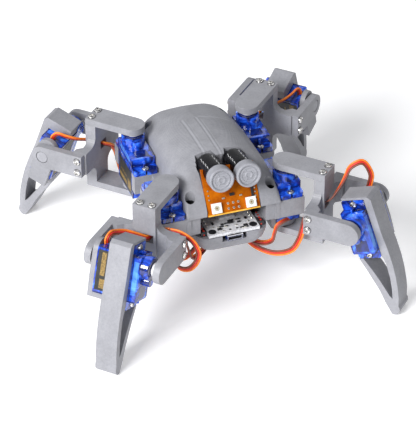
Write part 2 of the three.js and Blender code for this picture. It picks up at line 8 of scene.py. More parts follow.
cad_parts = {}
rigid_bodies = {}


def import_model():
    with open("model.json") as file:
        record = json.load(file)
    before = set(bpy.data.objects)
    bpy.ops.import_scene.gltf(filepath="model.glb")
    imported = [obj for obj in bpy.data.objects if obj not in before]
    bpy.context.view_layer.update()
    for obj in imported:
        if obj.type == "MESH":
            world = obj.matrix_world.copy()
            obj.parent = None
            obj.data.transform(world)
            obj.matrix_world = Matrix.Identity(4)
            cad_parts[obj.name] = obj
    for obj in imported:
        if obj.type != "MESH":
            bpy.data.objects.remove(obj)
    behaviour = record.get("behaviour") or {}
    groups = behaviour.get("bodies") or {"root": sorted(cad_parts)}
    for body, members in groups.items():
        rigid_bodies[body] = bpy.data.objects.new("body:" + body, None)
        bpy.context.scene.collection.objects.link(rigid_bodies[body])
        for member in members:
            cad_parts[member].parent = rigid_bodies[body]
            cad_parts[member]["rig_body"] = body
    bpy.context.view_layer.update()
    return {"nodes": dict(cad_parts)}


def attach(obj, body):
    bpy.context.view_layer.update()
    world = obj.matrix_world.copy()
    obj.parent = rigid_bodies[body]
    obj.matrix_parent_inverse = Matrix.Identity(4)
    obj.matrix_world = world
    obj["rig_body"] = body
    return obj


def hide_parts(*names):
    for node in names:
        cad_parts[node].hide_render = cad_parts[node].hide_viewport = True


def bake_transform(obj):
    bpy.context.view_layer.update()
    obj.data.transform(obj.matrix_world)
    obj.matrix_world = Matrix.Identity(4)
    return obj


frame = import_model()
MM = 0.001

# ---- Dimensions shared with the CAD, in millimetres ----------------------------------------------
HIP_X, HIP_Y, YAW, TILT = 30.0, 26.5, 45.0, 20.0
KNEE_U, KNEE_Z = 41.3, 50.0
FORK_OUT = 19.72
HIP_SERVO_Z = 37.4
KNEE_SERVO_W = -12.9
EYE_X, EYE_Y, EYE_Z, EYE_RISE = 6.8, -40.4, 74.0, 11.0
CAP_R, BARREL_R = 6.2, 5.3
SHELL_SCREWS = [(-20.2, -32.4), (20.2, -32.4), (-20.2, 34.4), (20.2, 34.4)]
BORE_R, SCREW_HEAD_Z = 2.5, 54.6  # the shell's counterbores and the height of their bottoms
BOARD_TOP = 42.5  # upper face of the control board
BOARD_HOLE = (10.4, -36.5)  # its front mounting holes, left and right
PIN_PITCH = 2.54
TAB_Y = (8.4, -19.4)  # screw holes in a servo's tabs, from its shaft
WIRE_D = 1.02
LEGS = {"front_left": (1, -1), "front_right": (-1, -1), "rear_left": (1, 1), "rear_right": (-1, 1)}


def leg_matrix(name):
    """Leg frame (u out, w across, z up) to the row frame, in millimetres."""
    sx, sy = LEGS[name]
    return (Matrix.Translation((sx * HIP_X, sy * HIP_Y, 0)) @ Matrix.Diagonal((sx, sy, 1, 1))
            @ Matrix.Rotation(math.radians(YAW), 4, "Z"))


# The shin's frame, from the knee axis, to the leg's: u across the knee servo, v along it, w along its shaft.
SHIN = (Matrix.Translation((KNEE_U, 0, KNEE_Z)) @ Matrix.Rotation(-math.radians(TILT), 4, "Y")
        @ Matrix(((1, 0, 0, 0), (0, 0, 1, 0), (0, 1, 0, 0), (0, 0, 0, 1))))


# ---- Camera --------------------------------------------------------------------------------------
CAMERA_TURN, CAMERA_RISE = -19.06, 34.31  # degrees from straight ahead of the robot, and above the floor
CAMERA_LENS, SENSOR_WIDTH = 184.6, 36
CAMERA_AWAY, CAMERA_DROP = 1.108, 0.0176  # metres from the body's centre, and how far below it the aim is
BODY_CENTRE = Vector((0, 0, 0.045))


def make_camera():
    turn, rise = math.radians(CAMERA_TURN), math.radians(CAMERA_RISE)
    back = Vector((math.sin(turn) * math.cos(rise), -math.cos(turn) * math.cos(rise), math.sin(rise)))
    up = Vector((-math.sin(turn) * math.sin(rise), math.cos(turn) * math.sin(rise), math.cos(rise)))
    data = bpy.data.cameras.new("camera")
    data.lens = CAMERA_LENS
    data.sensor_width = SENSOR_WIDTH
    cam = bpy.data.objects.new("camera", data)
    bpy.context.scene.collection.objects.link(cam)
    cam.location = BODY_CENTRE + back * CAMERA_AWAY
    aim = BODY_CENTRE - up * CAMERA_DROP
    cam.rotation_mode = "QUATERNION"
    cam.rotation_quaternion = (aim - cam.location).to_track_quat("-Z", "Y")
    data.clip_start, data.clip_end = 0.05, 20
    bpy.context.scene.camera = cam


make_camera()


# ---- Materials -----------------------------------------------------------------------------------
# The dome's seams in metres: two along it, ending where the third crosses at a slant behind them.
SEAM_X = (0.0008, -0.0064)
SEAM_REAR_Y, SEAM_CROSS_Y, SEAM_CROSS_X, SEAM_SLOPE = 0.0212, 0.0208, 0.0006, 0.28
SEAM_HALF = 0.0009  # from a seam's middle to its edges
EDGE_FADE, STRIP_FADE, END_FADE = 0.0007, 0.001, 0.0015
GREY_PRINT = (0.272, 0.274, 0.298)


class Nodes:
    """A material's node tree with short helpers."""

    def __init__(self, name):
        self.material = bpy.data.materials.new(name)
        self.material.use_nodes = True
        self.tree = self.material.node_tree
        self.shader = self.tree.nodes["Principled BSDF"]
        self.coord = self.tree.nodes.new("ShaderNodeTexCoord").outputs["Object"]

    def add(self, kind, **values):
        node = self.tree.nodes.new(kind)
        for key, value in values.items():
            setattr(node, key, value)
        return node

    def link(self, a, b):
        self.tree.links.new(a, b)

    def noise(self, scale, detail=3, rough=0.5):
        node = self.add("ShaderNodeTexNoise")
        node.inputs["Scale"].default_value = scale
        node.inputs["Detail"].default_value = detail
        node.inputs["Roughness"].default_value = rough
        self.link(self.coord, node.inputs["Vector"])
        return node.outputs["Fac"]

    def math(self, operation, a, b=None, clamp=False):
        node = self.add("ShaderNodeMath", operation=operation, use_clamp=clamp)
        for socket, value in zip(node.inputs, (a, b)):
            if value is None:
                continue
            if isinstance(value, (int, float)):
                socket.default_value = value
            else:
                self.link(value, socket)
        return node.outputs[0]

    def ramp(self, fac, stops):
        node = self.add("ShaderNodeValToRGB")
        elements = node.color_ramp.elements
        while len(elements) < len(stops):
            elements.new(0.5)
        for element, (at, colour) in zip(elements, stops):
            element.position = at
            element.color = (*colour, 1)
        self.link(fac, node.inputs["Fac"])
        return node.outputs["Color"]

    def mix(self, fac, a, b, mode="MIX"):
        node = self.add("ShaderNodeMix", data_type="RGBA", blend_type=mode)
        for socket, value in ((node.inputs[0], fac), (node.inputs[6], a), (node.inputs[7], b)):
            if isinstance(value, (int, float)):
                socket.default_value = value
            elif isinstance(value, tuple):
                socket.default_value = (*value, 1)
            else:
                self.link(value, socket)
        return node.outputs[2]

    def bump(self, height, distance, strength):
        node = self.add("ShaderNodeBump")
        node.inputs["Distance"].default_value = distance
        node.inputs["Strength"].default_value = strength
        self.link(height, node.inputs["Height"])
        self.link(node.outputs["Normal"], self.shader.inputs["Normal"])

    def creases(self):
        """Masks of the dome's seams, two along it and one slanting behind them: their edges, which get
        painted shade, and the strips along their middles, which get a painted highlight.
        """
        parts = self.add("ShaderNodeSeparateXYZ")
        self.link(self.coord, parts.inputs[0])
        x, y = parts.outputs[0], parts.outputs[1]
        ahead = self.math("DIVIDE", self.math("SUBTRACT", SEAM_REAR_Y, y), END_FADE, True)
        slant = self.math("ADD", y, self.math("MULTIPLY", x, SEAM_SLOPE))
        left = self.math("DIVIDE", self.math("SUBTRACT", x, SEAM_CROSS_X), STRIP_FADE, True)
        edges = highlight_strips = None
        for source, at, limit in ((x, SEAM_X[0], ahead), (x, SEAM_X[1], ahead), (slant, SEAM_CROSS_Y, left)):
            gap = self.math("ABSOLUTE", self.math("SUBTRACT", source, at))
            edge = self.math("ABSOLUTE", self.math("SUBTRACT", gap, SEAM_HALF))
            line = self.math("SUBTRACT", 1.0, self.math("DIVIDE", edge, EDGE_FADE), True)
            line = self.math("MULTIPLY", line, limit)
            highlight_strip = self.math("SUBTRACT", 1.0, self.math("DIVIDE", gap, STRIP_FADE), True)
            highlight_strip = self.math("MULTIPLY", highlight_strip, limit)
            edges = line if edges is None else self.math("MAXIMUM", edges, line)
            highlight_strips = highlight_strip if highlight_strips is None else self.math("MAXIMUM", highlight_strips, highlight_strip)
        return edges, highlight_strips

    def stripes(self, direction, pitch, wobble):
        """Layer lines: 0 to 1 along a direction, one period per pitch, a little uneven."""
        dot = self.add("ShaderNodeVectorMath", operation="DOT_PRODUCT")
        self.link(self.coord, dot.inputs[0])
        dot.inputs[1].default_value = direction
        along = self.math("ADD", dot.outputs["Value"], self.math("MULTIPLY", self.noise(60, 2), wobble))
        wave = self.math("SINE", self.math("MULTIPLY", along, 2 * math.pi / pitch))
        return self.math("ADD", self.math("MULTIPLY", wave, 0.5), 0.5)


def printed(name, direction, pitch, base=GREY_PRINT, lines_dark=0.86, creases=False):
    """Grey printed plastic: fine layer lines over slight mottling, and on the dome its seams: grooved edges
    with painted shade in them and a painted highlight along each seam's middle.
    """
    n = Nodes(name)
    lines = n.stripes(direction, pitch, 0.0003)
    broad, fine = n.noise(90, 4, 0.6), n.noise(900, 3, 0.7)
    mottle = n.math("ADD", n.math("MULTIPLY", broad, 0.6), n.math("MULTIPLY", fine, 0.4))
    dark, pale = tuple(c * 0.8 for c in base), tuple(c * 1.22 for c in base)
    colour = n.ramp(mottle, [(0.3, dark), (0.7, pale)])
    shade = n.ramp(lines, [(0.0, (lines_dark, lines_dark, lines_dark)), (0.5, (1.0, 1.0, 1.0))])
    colour = n.mix(1.0, colour, shade, "MULTIPLY")
    height = n.math("ADD", n.math("MULTIPLY", lines, 0.8), n.math("MULTIPLY", n.noise(1400, 2), 0.35))
    if creases:
        groove_and_shade, highlight_strip = n.creases()
        # Painted shade darkens the seams' grooved edges and a painted highlight lightens the strip along each
        # seam's middle; the edges are also pressed into the bump.
        colour = n.mix(n.math("MULTIPLY", groove_and_shade, 0.2), colour, tuple(c * 0.6 for c in base))
        colour = n.mix(n.math("MULTIPLY", highlight_strip, 0.7), colour, tuple(c * 1.45 for c in base))
        height = n.math("SUBTRACT", height, n.math("MULTIPLY", groove_and_shade, 2.5))
    n.link(colour, n.shader.inputs["Base Color"])
    rough = n.math("ADD", n.math("MULTIPLY", n.noise(35, 3), 0.2), 0.36)
    n.link(rough, n.shader.inputs["Roughness"])
    n.bump(height, 0.00005, 0.8)
    n.shader.inputs["Specular IOR Level"].default_value = 0.45
    return n.material


def moulded(name, low, high, rough, scale, coat=0.0, spec=0.5):
    """Moulded plastic: two close tones, a fine grain and uneven gloss."""
    n = Nodes(name)
    n.link(n.ramp(n.noise(scale, 4, 0.6), [(0.32, low), (0.68, high)]), n.shader.inputs["Base Color"])
    gloss = n.math("ADD", n.math("MULTIPLY", n.noise(scale * 0.6), 0.16), rough)
    n.link(gloss, n.shader.inputs["Roughness"])
    n.bump(n.noise(2200, 2), 0.00002, 0.5)
    n.shader.inputs["Coat Weight"].default_value = coat
    n.shader.inputs["Coat Roughness"].default_value = 0.12
    n.shader.inputs["Specular IOR Level"].default_value = spec
    return n.material


def translucent(name, stops, bump):
    """Clear tinted plastic: random patches, partly its depths and partly painted glints, under a hard gloss.
    """
    n = Nodes(name)
    warp = n.add("ShaderNodeTexNoise")
    for socket, value in (("Scale", 130), ("Detail", 3), ("Roughness", 0.55), ("Distortion", 1.6)):
        warp.inputs[socket].default_value = value
    n.link(n.coord, warp.inputs["Vector"])
    n.link(n.ramp(warp.outputs["Fac"], stops), n.shader.inputs["Base Color"])
    n.link(n.math("ADD", n.math("MULTIPLY", n.noise(200), 0.14), 0.1), n.shader.inputs["Roughness"])
    n.bump(n.noise(420, 3), bump, 0.7)
    n.shader.inputs["Coat Weight"].default_value = 0.7
    n.shader.inputs["Coat Roughness"].default_value = 0.06
    return n.material


def metal(name, low, high, rough, scale=500):
    """Bare metal: uneven tone and gloss under fine scratches."""
    n = Nodes(name)
    n.link(n.ramp(n.noise(scale, 3), [(0.35, low), (0.62, high)]), n.shader.inputs["Base Color"])
    n.link(n.math("ADD", n.math("MULTIPLY", n.noise(900), 0.25), rough), n.shader.inputs["Roughness"])
    n.bump(n.noise(3000, 2), 0.00001, 0.4)
    n.shader.inputs["Metallic"].default_value = 1.0
    return n.material


DIAGONAL = math.sqrt(0.5)
PRINT_Z = printed("printed_layers_z", (0, 0, 1), 0.00042)
PRINT_A = printed("printed_layers_a", (DIAGONAL, DIAGONAL, 0), 0.0005)
PRINT_B = printed("printed_layers_b", (DIAGONAL, -DIAGONAL, 0), 0.0005)
# The dome, with painted shade and a painted highlight at its seams.
PRINT_DOME = printed("printed_dome", (0, 0.1, 1), 0.0004, lines_dark=0.95, creases=True)
CAP_MAT = printed("cap_print", (0, 1, 0.2), 0.0005, (0.29, 0.294, 0.325))
# The servos' blue; its palest stop is a painted glint.
BLUE = translucent("servo_blue", [(0.36, (0.001, 0.007, 0.09)), (0.47, (0.004, 0.04, 0.4)),
                                  (0.57, (0.013, 0.1, 0.72)), (0.7, (0.07, 0.29, 1.0))], 0.00012)
# Dark blue for the case's seams and for painted shade down its corners.
BLUE_SEAMS_AND_SHADE = translucent("servo_blue_seams_and_shade", [(0.35, (0.001, 0.004, 0.05)), (0.65, (0.003, 0.02, 0.22))],
                        0.00004)
# Paler blue for painted highlights on the servos' cases.
BLUE_HIGHLIGHT = translucent("servo_blue_painted_highlight", [(0.35, (0.008, 0.08, 0.58)), (0.72, (0.14, 0.42, 1.0))], 0.00012)
HORN = moulded("horn_white", (0.66, 0.66, 0.68), (0.82, 0.82, 0.84), 0.3, 400)
# Plain black for boards and parts; also painted shade, lining the shell's counterbores and ringing the screw
# heads.
BLACK_AND_SHADE = moulded("board_black", (0.008, 0.008, 0.01), (0.024, 0.024, 0.028), 0.34, 500)
SILVER_BOARD = moulded("board_white", (0.5, 0.51, 0.54), (0.86, 0.87, 0.9), 0.24, 800)
AMBER = moulded("board_orange", (0.24, 0.037, 0.0003), (0.54, 0.14, 0.001), 0.45, 150, spec=0.08)
AMBER_RIM = moulded("board_orange_rim", (0.7, 0.36, 0.03), (0.9, 0.52, 0.08), 0.22, 300)
BARREL = moulded("barrel_black", (0.002, 0.002, 0.003), (0.007, 0.007, 0.009), 0.2, 200, 0.0, 0.14)
LABEL = moulded("label_black", (0.01, 0.01, 0.009), (0.026, 0.025, 0.022), 0.3, 500)
GOLD = moulded("label_gold", (0.09, 0.055, 0.012), (0.34, 0.22, 0.06), 0.3, 1400)
CHROME = metal("screw_steel", (0.3, 0.29, 0.28), (0.95, 0.94, 0.92), 0.1, 900)
DARK_STEEL = metal("screw_dark", (0.05, 0.05, 0.055), (0.2, 0.2, 0.21), 0.25, 900)
SOLDER = metal("solder", (0.62, 0.6, 0.52), (0.85, 0.83, 0.75), 0.2)
LED = moulded("led_white", (0.82, 0.83, 0.8), (0.95, 0.95, 0.92), 0.25, 500, 0.4)
LED_LENS = moulded("led_lens", (0.3, 0.28, 0.22), (0.6, 0.57, 0.46), 0.2, 900, 0.4)
RED_PART = moulded("part_red", (0.4, 0.015, 0.01), (0.62, 0.04, 0.02), 0.3, 500)
BLUE_PART = moulded("part_blue", (0.004, 0.008, 0.05), (0.008, 0.022, 0.13), 0.35, 500)
WHITE_MARK = moulded("mark_white", (0.7, 0.7, 0.72), (0.9, 0.9, 0.9), 0.35, 500)
WIRES = (
    moulded("wire_orange", (0.78, 0.16, 0.01), (0.93, 0.27, 0.03), 0.34, 300),
    moulded("wire_red", (0.55, 0.015, 0.01), (0.75, 0.04, 0.02), 0.34, 300),
    moulded("wire_brown", (0.13, 0.03, 0.015), (0.24, 0.06, 0.03), 0.36, 300),
)


# ---- Mesh helpers --------------------------------------------------------------------------------
def finish_mesh(name, bm, material, angle=34):
    """A shaded mesh from bm, with edges sharper than the angle kept crisp; material is one or a list."""
    mesh = bpy.data.meshes.new(name)
    bm.normal_update()
    bm.to_mesh(mesh)
    bm.free()
    for m in material if isinstance(material, (list, tuple)) else [material]:
        mesh.materials.append(m)
    mesh.shade_smooth()
    mesh.set_sharp_from_angle(angle=math.radians(angle))
    return mesh


def put(name, mesh, body, nodes=(), matrix=None):
    """Adds an object that rides a body and stands for CAD nodes, which it hides."""
    obj = bpy.data.objects.new(name, mesh)
    bpy.context.scene.collection.objects.link(obj)
    if matrix is not None:
        obj.matrix_world = matrix
    if body:
        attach(obj, body)
    if nodes:
        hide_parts(*nodes)
    return obj


def place(bm, matrix):
    """Moves a mesh in millimetres, turns its faces over if that mirrors it, and scales it to metres."""
    bmesh.ops.transform(bm, matrix=Matrix.Scale(MM, 4) @ matrix, verts=bm.verts)
    if matrix.to_3x3().determinant() < 0:
        bmesh.ops.reverse_faces(bm, faces=bm.faces)
    return bm


def bevel(bm, width, segments=2, angle=40):
    """Rounds every edge sharper than the angle."""
    edges = [e for e in bm.edges if len(e.link_faces) == 2 and e.calc_face_angle(0) > math.radians(angle)]
    bmesh.ops.bevel(bm, geom=edges, offset=width, segments=segments, affect="EDGES", profile=0.6,
                    clamp_overlap=True)
    return bm


def rounded(x0, x1, y0, y1, z0, z1, width, segments=2):
    """A box between two corners with rounded edges."""
    bm = bmesh.new()
    made = bmesh.ops.create_cube(bm, size=1)["verts"]
    bmesh.ops.scale(bm, vec=(x1 - x0, y1 - y0, z1 - z0), verts=made)
    bmesh.ops.translate(bm, vec=((x0 + x1) / 2, (y0 + y1) / 2, (z0 + z1) / 2), verts=made)
    return bevel(bm, width, segments)


def plate(outline, z0, z1):
    """An outline in x and y made solid between two heights."""
    bm = bmesh.new()
    low = [bm.verts.new((x, y, z0)) for x, y in outline]
    high = [bm.verts.new((x, y, z1)) for x, y in outline]
    bm.faces.new(low[::-1])
    bm.faces.new(high)
    for i in range(len(low)):
        j = (i + 1) % len(low)
        bm.faces.new((low[i], low[j], high[j], high[i]))
    return bm


def lathe(profile, sides=40, centre=(0, 0)):
    """Turns (radius, z) points about z; they start and end on the axis, or end where they start."""
    bm = bmesh.new()
    rings = []
    for r, z in profile:
        if r < 1e-6:
            rings.append([bm.verts.new((centre[0], centre[1], z))])
        else:
            rings.append([bm.verts.new((centre[0] + r * math.cos(2 * math.pi * i / sides),
                                        centre[1] + r * math.sin(2 * math.pi * i / sides), z))
                          for i in range(sides)])
    for a, b in zip(rings, rings[1:]):
        for i in range(sides):
            j = (i + 1) % sides
            quad = [a[i % len(a)], a[j % len(a)], b[j % len(b)], b[i % len(b)]]
            face = list(dict.fromkeys(quad))
            if len(face) > 2:
                bm.faces.new(face)
    bmesh.ops.recalc_face_normals(bm, faces=bm.faces)
    return bm


def merge(*meshes):
    """One mesh from several, each a mesh or a (mesh, material index) pair."""
    out = bmesh.new()
    for item in meshes:
        bm, index = item if isinstance(item, tuple) else (item, 0)
        for f in bm.faces:
            f.material_index = index
        temp = bpy.data.meshes.new("temp")
        bm.to_mesh(temp)
        bm.free()
        out.from_mesh(temp)
        bpy.data.meshes.remove(temp)
    return out


def carve(bm, *cutters):
    """bm less the cutters, by exact booleans."""
    def wrap(solid):
        mesh = bpy.data.meshes.new("temp")
        solid.to_mesh(mesh)
        solid.free()
        obj = bpy.data.objects.new("temp", mesh)
        bpy.context.scene.collection.objects.link(obj)
        return obj

    base = wrap(bm)
    tools = [wrap(c) for c in cutters]
    for tool in tools:
        cut = base.modifiers.new("cut", "BOOLEAN")
        cut.operation = "DIFFERENCE"
        cut.solver = "EXACT"
        cut.object = tool
    bpy.context.view_layer.update()
    evaluated = base.evaluated_get(bpy.context.evaluated_depsgraph_get())
    out = bmesh.new()
    out.from_mesh(evaluated.to_mesh())
    evaluated.to_mesh_clear()
    for obj in [base, *tools]:
        mesh = obj.data
        bpy.data.objects.remove(obj)
        bpy.data.meshes.remove(mesh)
    return out


def refine(node, material, width=0.3):
    """A CAD node's shape with its facets merged and its edges softened."""
    bm = bmesh.new()
    bm.from_mesh(frame["nodes"][node].data)
    bmesh.ops.remove_doubles(bm, verts=bm.verts, dist=0.00003)
    bmesh.ops.dissolve_limit(bm, angle_limit=math.radians(0.8), verts=bm.verts, edges=bm.edges)
    mesh = finish_mesh(node + "_soft", bm, material, 180)
    obj = put(node + "_soft", mesh, frame["nodes"][node]["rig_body"], [node])
    soften = obj.modifiers.new("soften", "BEVEL")
    soften.width = width * MM
    soften.segments = 2
    soften.limit_method = "ANGLE"
    soften.angle_limit = math.radians(38)
    soften.use_clamp_overlap = True
    soften.harden_normals = False
    weighted = obj.modifiers.new("normals", "WEIGHTED_NORMAL")
    weighted.weight = 80


# ---- Leads ---------------------------------------------------------------------------------------
PER_SPAN = 24  # fine steps between two route points, before they are spaced evenly
WIRE_GAP = 0.98  # wires in a ribbon, centre to centre, in wire diameters


def smooth_path(points, steps):
    """Centripetal Catmull-Rom through the points, evenly spaced along its length."""
    route = [Vector(point) for point in points]
    route = [route[0] * 2 - route[1], *route, route[-1] * 2 - route[-2]]
    dense = []
    for a, b, c, d in zip(route, route[1:], route[2:], route[3:]):
        t0 = 0.0
        t1 = t0 + max((b - a).length, 1e-9) ** 0.5
        t2 = t1 + max((c - b).length, 1e-9) ** 0.5
        t3 = t2 + max((d - c).length, 1e-9) ** 0.5
        for k in range(PER_SPAN):
            t = t1 + (t2 - t1) * k / PER_SPAN
            a1 = a * ((t1 - t) / (t1 - t0)) + b * ((t - t0) / (t1 - t0))
            a2 = b * ((t2 - t) / (t2 - t1)) + c * ((t - t1) / (t2 - t1))
            a3 = c * ((t3 - t) / (t3 - t2)) + d * ((t - t2) / (t3 - t2))
            b1 = a1 * ((t2 - t) / (t2 - t0)) + a2 * ((t - t0) / (t2 - t0))
            b2 = a2 * ((t3 - t) / (t3 - t1)) + a3 * ((t - t1) / (t3 - t1))
            dense.append(b1 * ((t2 - t) / (t2 - t1)) + b2 * ((t - t1) / (t2 - t1)))
    dense.append(route[-2])
    lengths = [0.0]
    for a, b in zip(dense, dense[1:]):
        lengths.append(lengths[-1] + (b - a).length)
    out = []
    i = 0
    for k in range(steps + 1):
        along = lengths[-1] * k / steps
        while i + 2 < len(lengths) and lengths[i + 1] < along:
            i += 1
        span = lengths[i + 1] - lengths[i]
        out.append(dense[i].lerp(dense[i + 1], min(max((along - lengths[i]) / span, 0), 1)))
    return out


def tube(points, radius, sides=10):
    """A round tube with flat ends along a fine path in metres."""
    bm = bmesh.new()
    rings = []
    normal = None
    for i, p in enumerate(points):
        ahead = points[min(i + 1, len(points) - 1)] - points[max(i - 1, 0)]
        t = ahead.normalized()
        if normal is None:
            normal = t.orthogonal().normalized()
        normal = (normal - t * normal.dot(t)).normalized()
        side = t.cross(normal)
        rings.append([bm.verts.new(p + (normal * math.cos(a) + side * math.sin(a)) * radius)
                      for a in (2 * math.pi * k / sides for k in range(sides))])
    for a, b in zip(rings, rings[1:]):
        for k in range(sides):
            j = (k + 1) % sides
            bm.faces.new((a[k], a[j], b[j], b[k]))
    bm.faces.new(rings[0][::-1])
    bm.faces.new(rings[-1])
    bmesh.ops.recalc_face_normals(bm, faces=bm.faces)
    return bm


def ribbon(name, node, points, side, steps, ride=None, blend=None, twist=0.0):
    """Three wires side by side along a route in millimetres in the row frame, turning by twist on the way."""
    centre = smooth_path(points, steps)
    reference = Vector(side)
    offsets = []
    for i in range(len(centre)):
        t = (centre[min(i + 1, steps)] - centre[max(i - 1, 0)]).normalized()
        lateral = reference - t * reference.dot(t)
        if twist:
            reference = lateral.normalized()
        elif lateral.length > 0.25:
            reference = (reference * 0.4 + lateral.normalized() * 0.6).normalized()
        across = (reference - t * reference.dot(t)).normalized()
        offsets.append(Matrix.Rotation(twist * i / steps, 3, t) @ across)
    for k, (colour, material) in enumerate(zip(("orange", "red", "brown"), WIRES)):
        path = [(c + o * (k - 1) * WIRE_D * WIRE_GAP) * MM for c, o in zip(centre, offsets)]
        mesh = finish_mesh(f"{name}_{colour}", tube(path, WIRE_D / 2 * MM), material, 60)
        obj = put(f"{name}_{colour}", mesh, ride, [node])
        if blend:
            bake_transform(obj)


# Routes of the leads. UPPER goes from the knee servo to the bracket's window and LOWER from there towards
# the tray, both in the leg frame. DIP is its last stretch, up into the tray. HIP_LEAD is the hip servo's own,
# from its shaft, and HIP_LEAD_END its last stretch. Those three are for the rear left leg, and are mirrored.
UPPER_LOW = [(39.2, -11.3, 55.9), (39, -11.3, 57.8), (37, -10.6, 59.8), (33, -9.3, 58.7), (29, -6.6, 56.8),
             (26.2, -2, 54.6), (23.9, 1.6, 52.8), (20.6, 2.2, 52.4)]
UPPER_HIGH = [(39.1, -11.4, 56.5), (39.9, -11.8, 60.6), (40.1, -12, 65.4), (36.2, -9.8, 72.6), (31.4, -7, 70),
              (29.6, -5, 64.8), (27.6, -2.4, 59.2), (24.5, 1.4, 53.8), (20.8, 2.2, 52.3)]
UPPER_END = [(17.4, 2.6, 51.9), (16.1, 4.6, 50.6), (15.8, 7, 48.4)]
UPPER_ARCHED = [(17.3, 3.2, 52.7), (16.2, 6.2, 53.7), (15.6, 9.5, 54.2)]
LOWER = [(15.8, 7.3, 48.1), (15.3, 9.9, 43), (13.2, 10.6, 33), (8.6, 10, 24.5), (-0.7, 10.6, 20.5)]
LOWER_ARCHED = [(15.5, 9.9, 54.2), (15, 14.3, 54), (14.5, 21, 50.7), (14.5, 24.1, 44.9), (14.5, 22.6, 38.7),
                (14.4, 18.4, 33.6), (13.8, 13.6, 32.4), (10.4, 9.8, 32.6), (4, 8.8, 30), (-2.7, 9.2, 27)]
DIP = [(13.8, 25, 22.5), (11.4, 21.9, 28), (11.2, 21.6, 33.4)]
DIP_ARCHED = [(14.6, 24.2, 26.4), (11.6, 21.9, 28.8), (11.2, 21.6, 33.4)]
HIP_LEAD = [(-0.4, 7.7, 39.6), (-3.4, 8.4, 39.4), (-6.6, 8.7, 37.6), (-8, 8.8, 33.6), (-9.2, 8.6, 29.4)]
HIP_LEAD_END = [(16.6, 32, 26.8), (11, 28, 28.6), (9, 26.2, 33.4)]
UPPER_ENDS = ((24.5, 1.4, 53.4), (39.2, -11.3, 57))  # two points on an upper lead, passed along with it but not read
UPPER_TWIST = 2.9  # radians that the high lead turns about itself on its way


def leads(leg):
    """The three leads of a leg."""
    sx, sy = LEGS[leg]
    to_row = leg_matrix(leg)
    turn = to_row.to_3x3()
    arched = leg == "front_right"
    high = leg == "front_left"

    def reach(point):
        return to_row @ Vector(point)

    upper = (UPPER_HIGH if high else UPPER_LOW) + (UPPER_ARCHED if arched else UPPER_END)
    side = (-0.95, 0.33, 0) if high else turn @ Vector((-0.8, 0.6, 0))
    ribbon(f"{leg}_upper_lead", f"{leg}_knee_lead_upper", [reach(p) for p in upper], side, 52,
           blend=(f"{leg}_hip", f"{leg}_shin", *[reach(end) * MM for end in UPPER_ENDS]),
           twist=UPPER_TWIST if high else 0.0)
    lower = [reach(p) for p in (LOWER_ARCHED if arched else LOWER)]
    lower += [Vector((sx * x, sy * y, z)) for x, y, z in (DIP_ARCHED if arched else DIP)]
    side = Vector((0, 0, -1)) if arched else turn @ Vector((-1, 0, 0))
    ribbon(f"{leg}_lower_lead", f"{leg}_knee_lead_lower", lower, side, 60,
           blend=("body", f"{leg}_hip", lower[-2] * MM, lower[1] * MM))
    hip = [Vector((sx * (HIP_X + x), sy * (HIP_Y + y), z)) for x, y, z in HIP_LEAD]
    hip += [Vector((sx * x, sy * y, z)) for x, y, z in HIP_LEAD_END]
    ribbon(f"{leg}_servo_lead", f"{leg}_hip_lead", hip, Vector((0, sy, 0.15)), 44, ride="body")


for leg in LEGS:
    leads(leg)


# ---- Top shell -----------------------------------------------------------------------------------
# Each station: y, then the dome's height at each of SECTION_X, from the side wall to the middle.
SHELL = [
    (-38.6, 54.6, 55.2, 55.6, 55.8, 55.9, 56), (-35.5, 57.8, 59, 59.6, 59.9, 60, 60.2),
    (-30, 60.2, 63, 64.4, 64.9, 65.2, 65.4), (-24, 60.6, 64.8, 67.6, 68.9, 69.5, 69.8),
    (-17, 60.6, 65.4, 69.2, 71.4, 72.6, 73.2), (-5, 60.4, 65.2, 69.2, 71.6, 72.9, 73.5),
    (10, 59.8, 64.4, 68.2, 70.8, 72.1, 72.8), (20, 58.8, 63.2, 66.9, 69.5, 70.8, 71.6),
    (29.5, 57.4, 61.4, 65, 67.6, 68.8, 69.5), (36.6, 56.2, 60, 63.6, 66, 67, 67.6),
    (40, 55.4, 58.8, 62.6, 65, 65.8, 66.2),
]
BODY_X = 23.6
SECTION_X = (BODY_X, BODY_X - 1.3, 18.4, 13, 8, 0)
SHELL_Z0, SHELL_WALL = 53.4, 2
REAR_BOW, BOW_Y, BOW_RUN = 2, 34, 6  # the rear wall's corners curve forwards
DRAW_Y, DRAW_RUN = 33, 5  # where an inset also draws in the ends


def spline(xs, ys, x):
    """Cubic through (xs, ys) with Catmull-Rom slopes."""
    i = max(0, min(len(xs) - 2, next((k for k in range(len(xs) - 1) if x <= xs[k + 1]), len(xs) - 2)))

    def slope(k):
        a, b = max(k - 1, 0), min(k + 1, len(xs) - 1)
        return (ys[b] - ys[a]) / (xs[b] - xs[a])

    h = xs[i + 1] - xs[i]
    t = (x - xs[i]) / h
    m0, m1 = slope(i) * h, slope(i + 1) * h
    return ((2 * t ** 3 - 3 * t * t + 1) * ys[i] + (t ** 3 - 2 * t * t + t) * m0
            + (3 * t * t - 2 * t ** 3) * ys[i + 1] + (t ** 3 - t * t) * m1)


def section_steps(fine, coarse=3):
    """Positions along half a section, 1 apart per SECTION_X: coarse on the side wall, fine over the dome."""
    steps = []
    for i in range(len(SECTION_X) - 1):
        count = fine if i > 1 else coarse
        steps += [i + j / count for j in range(count)]
    return [*steps, float(len(SECTION_X) - 1)]


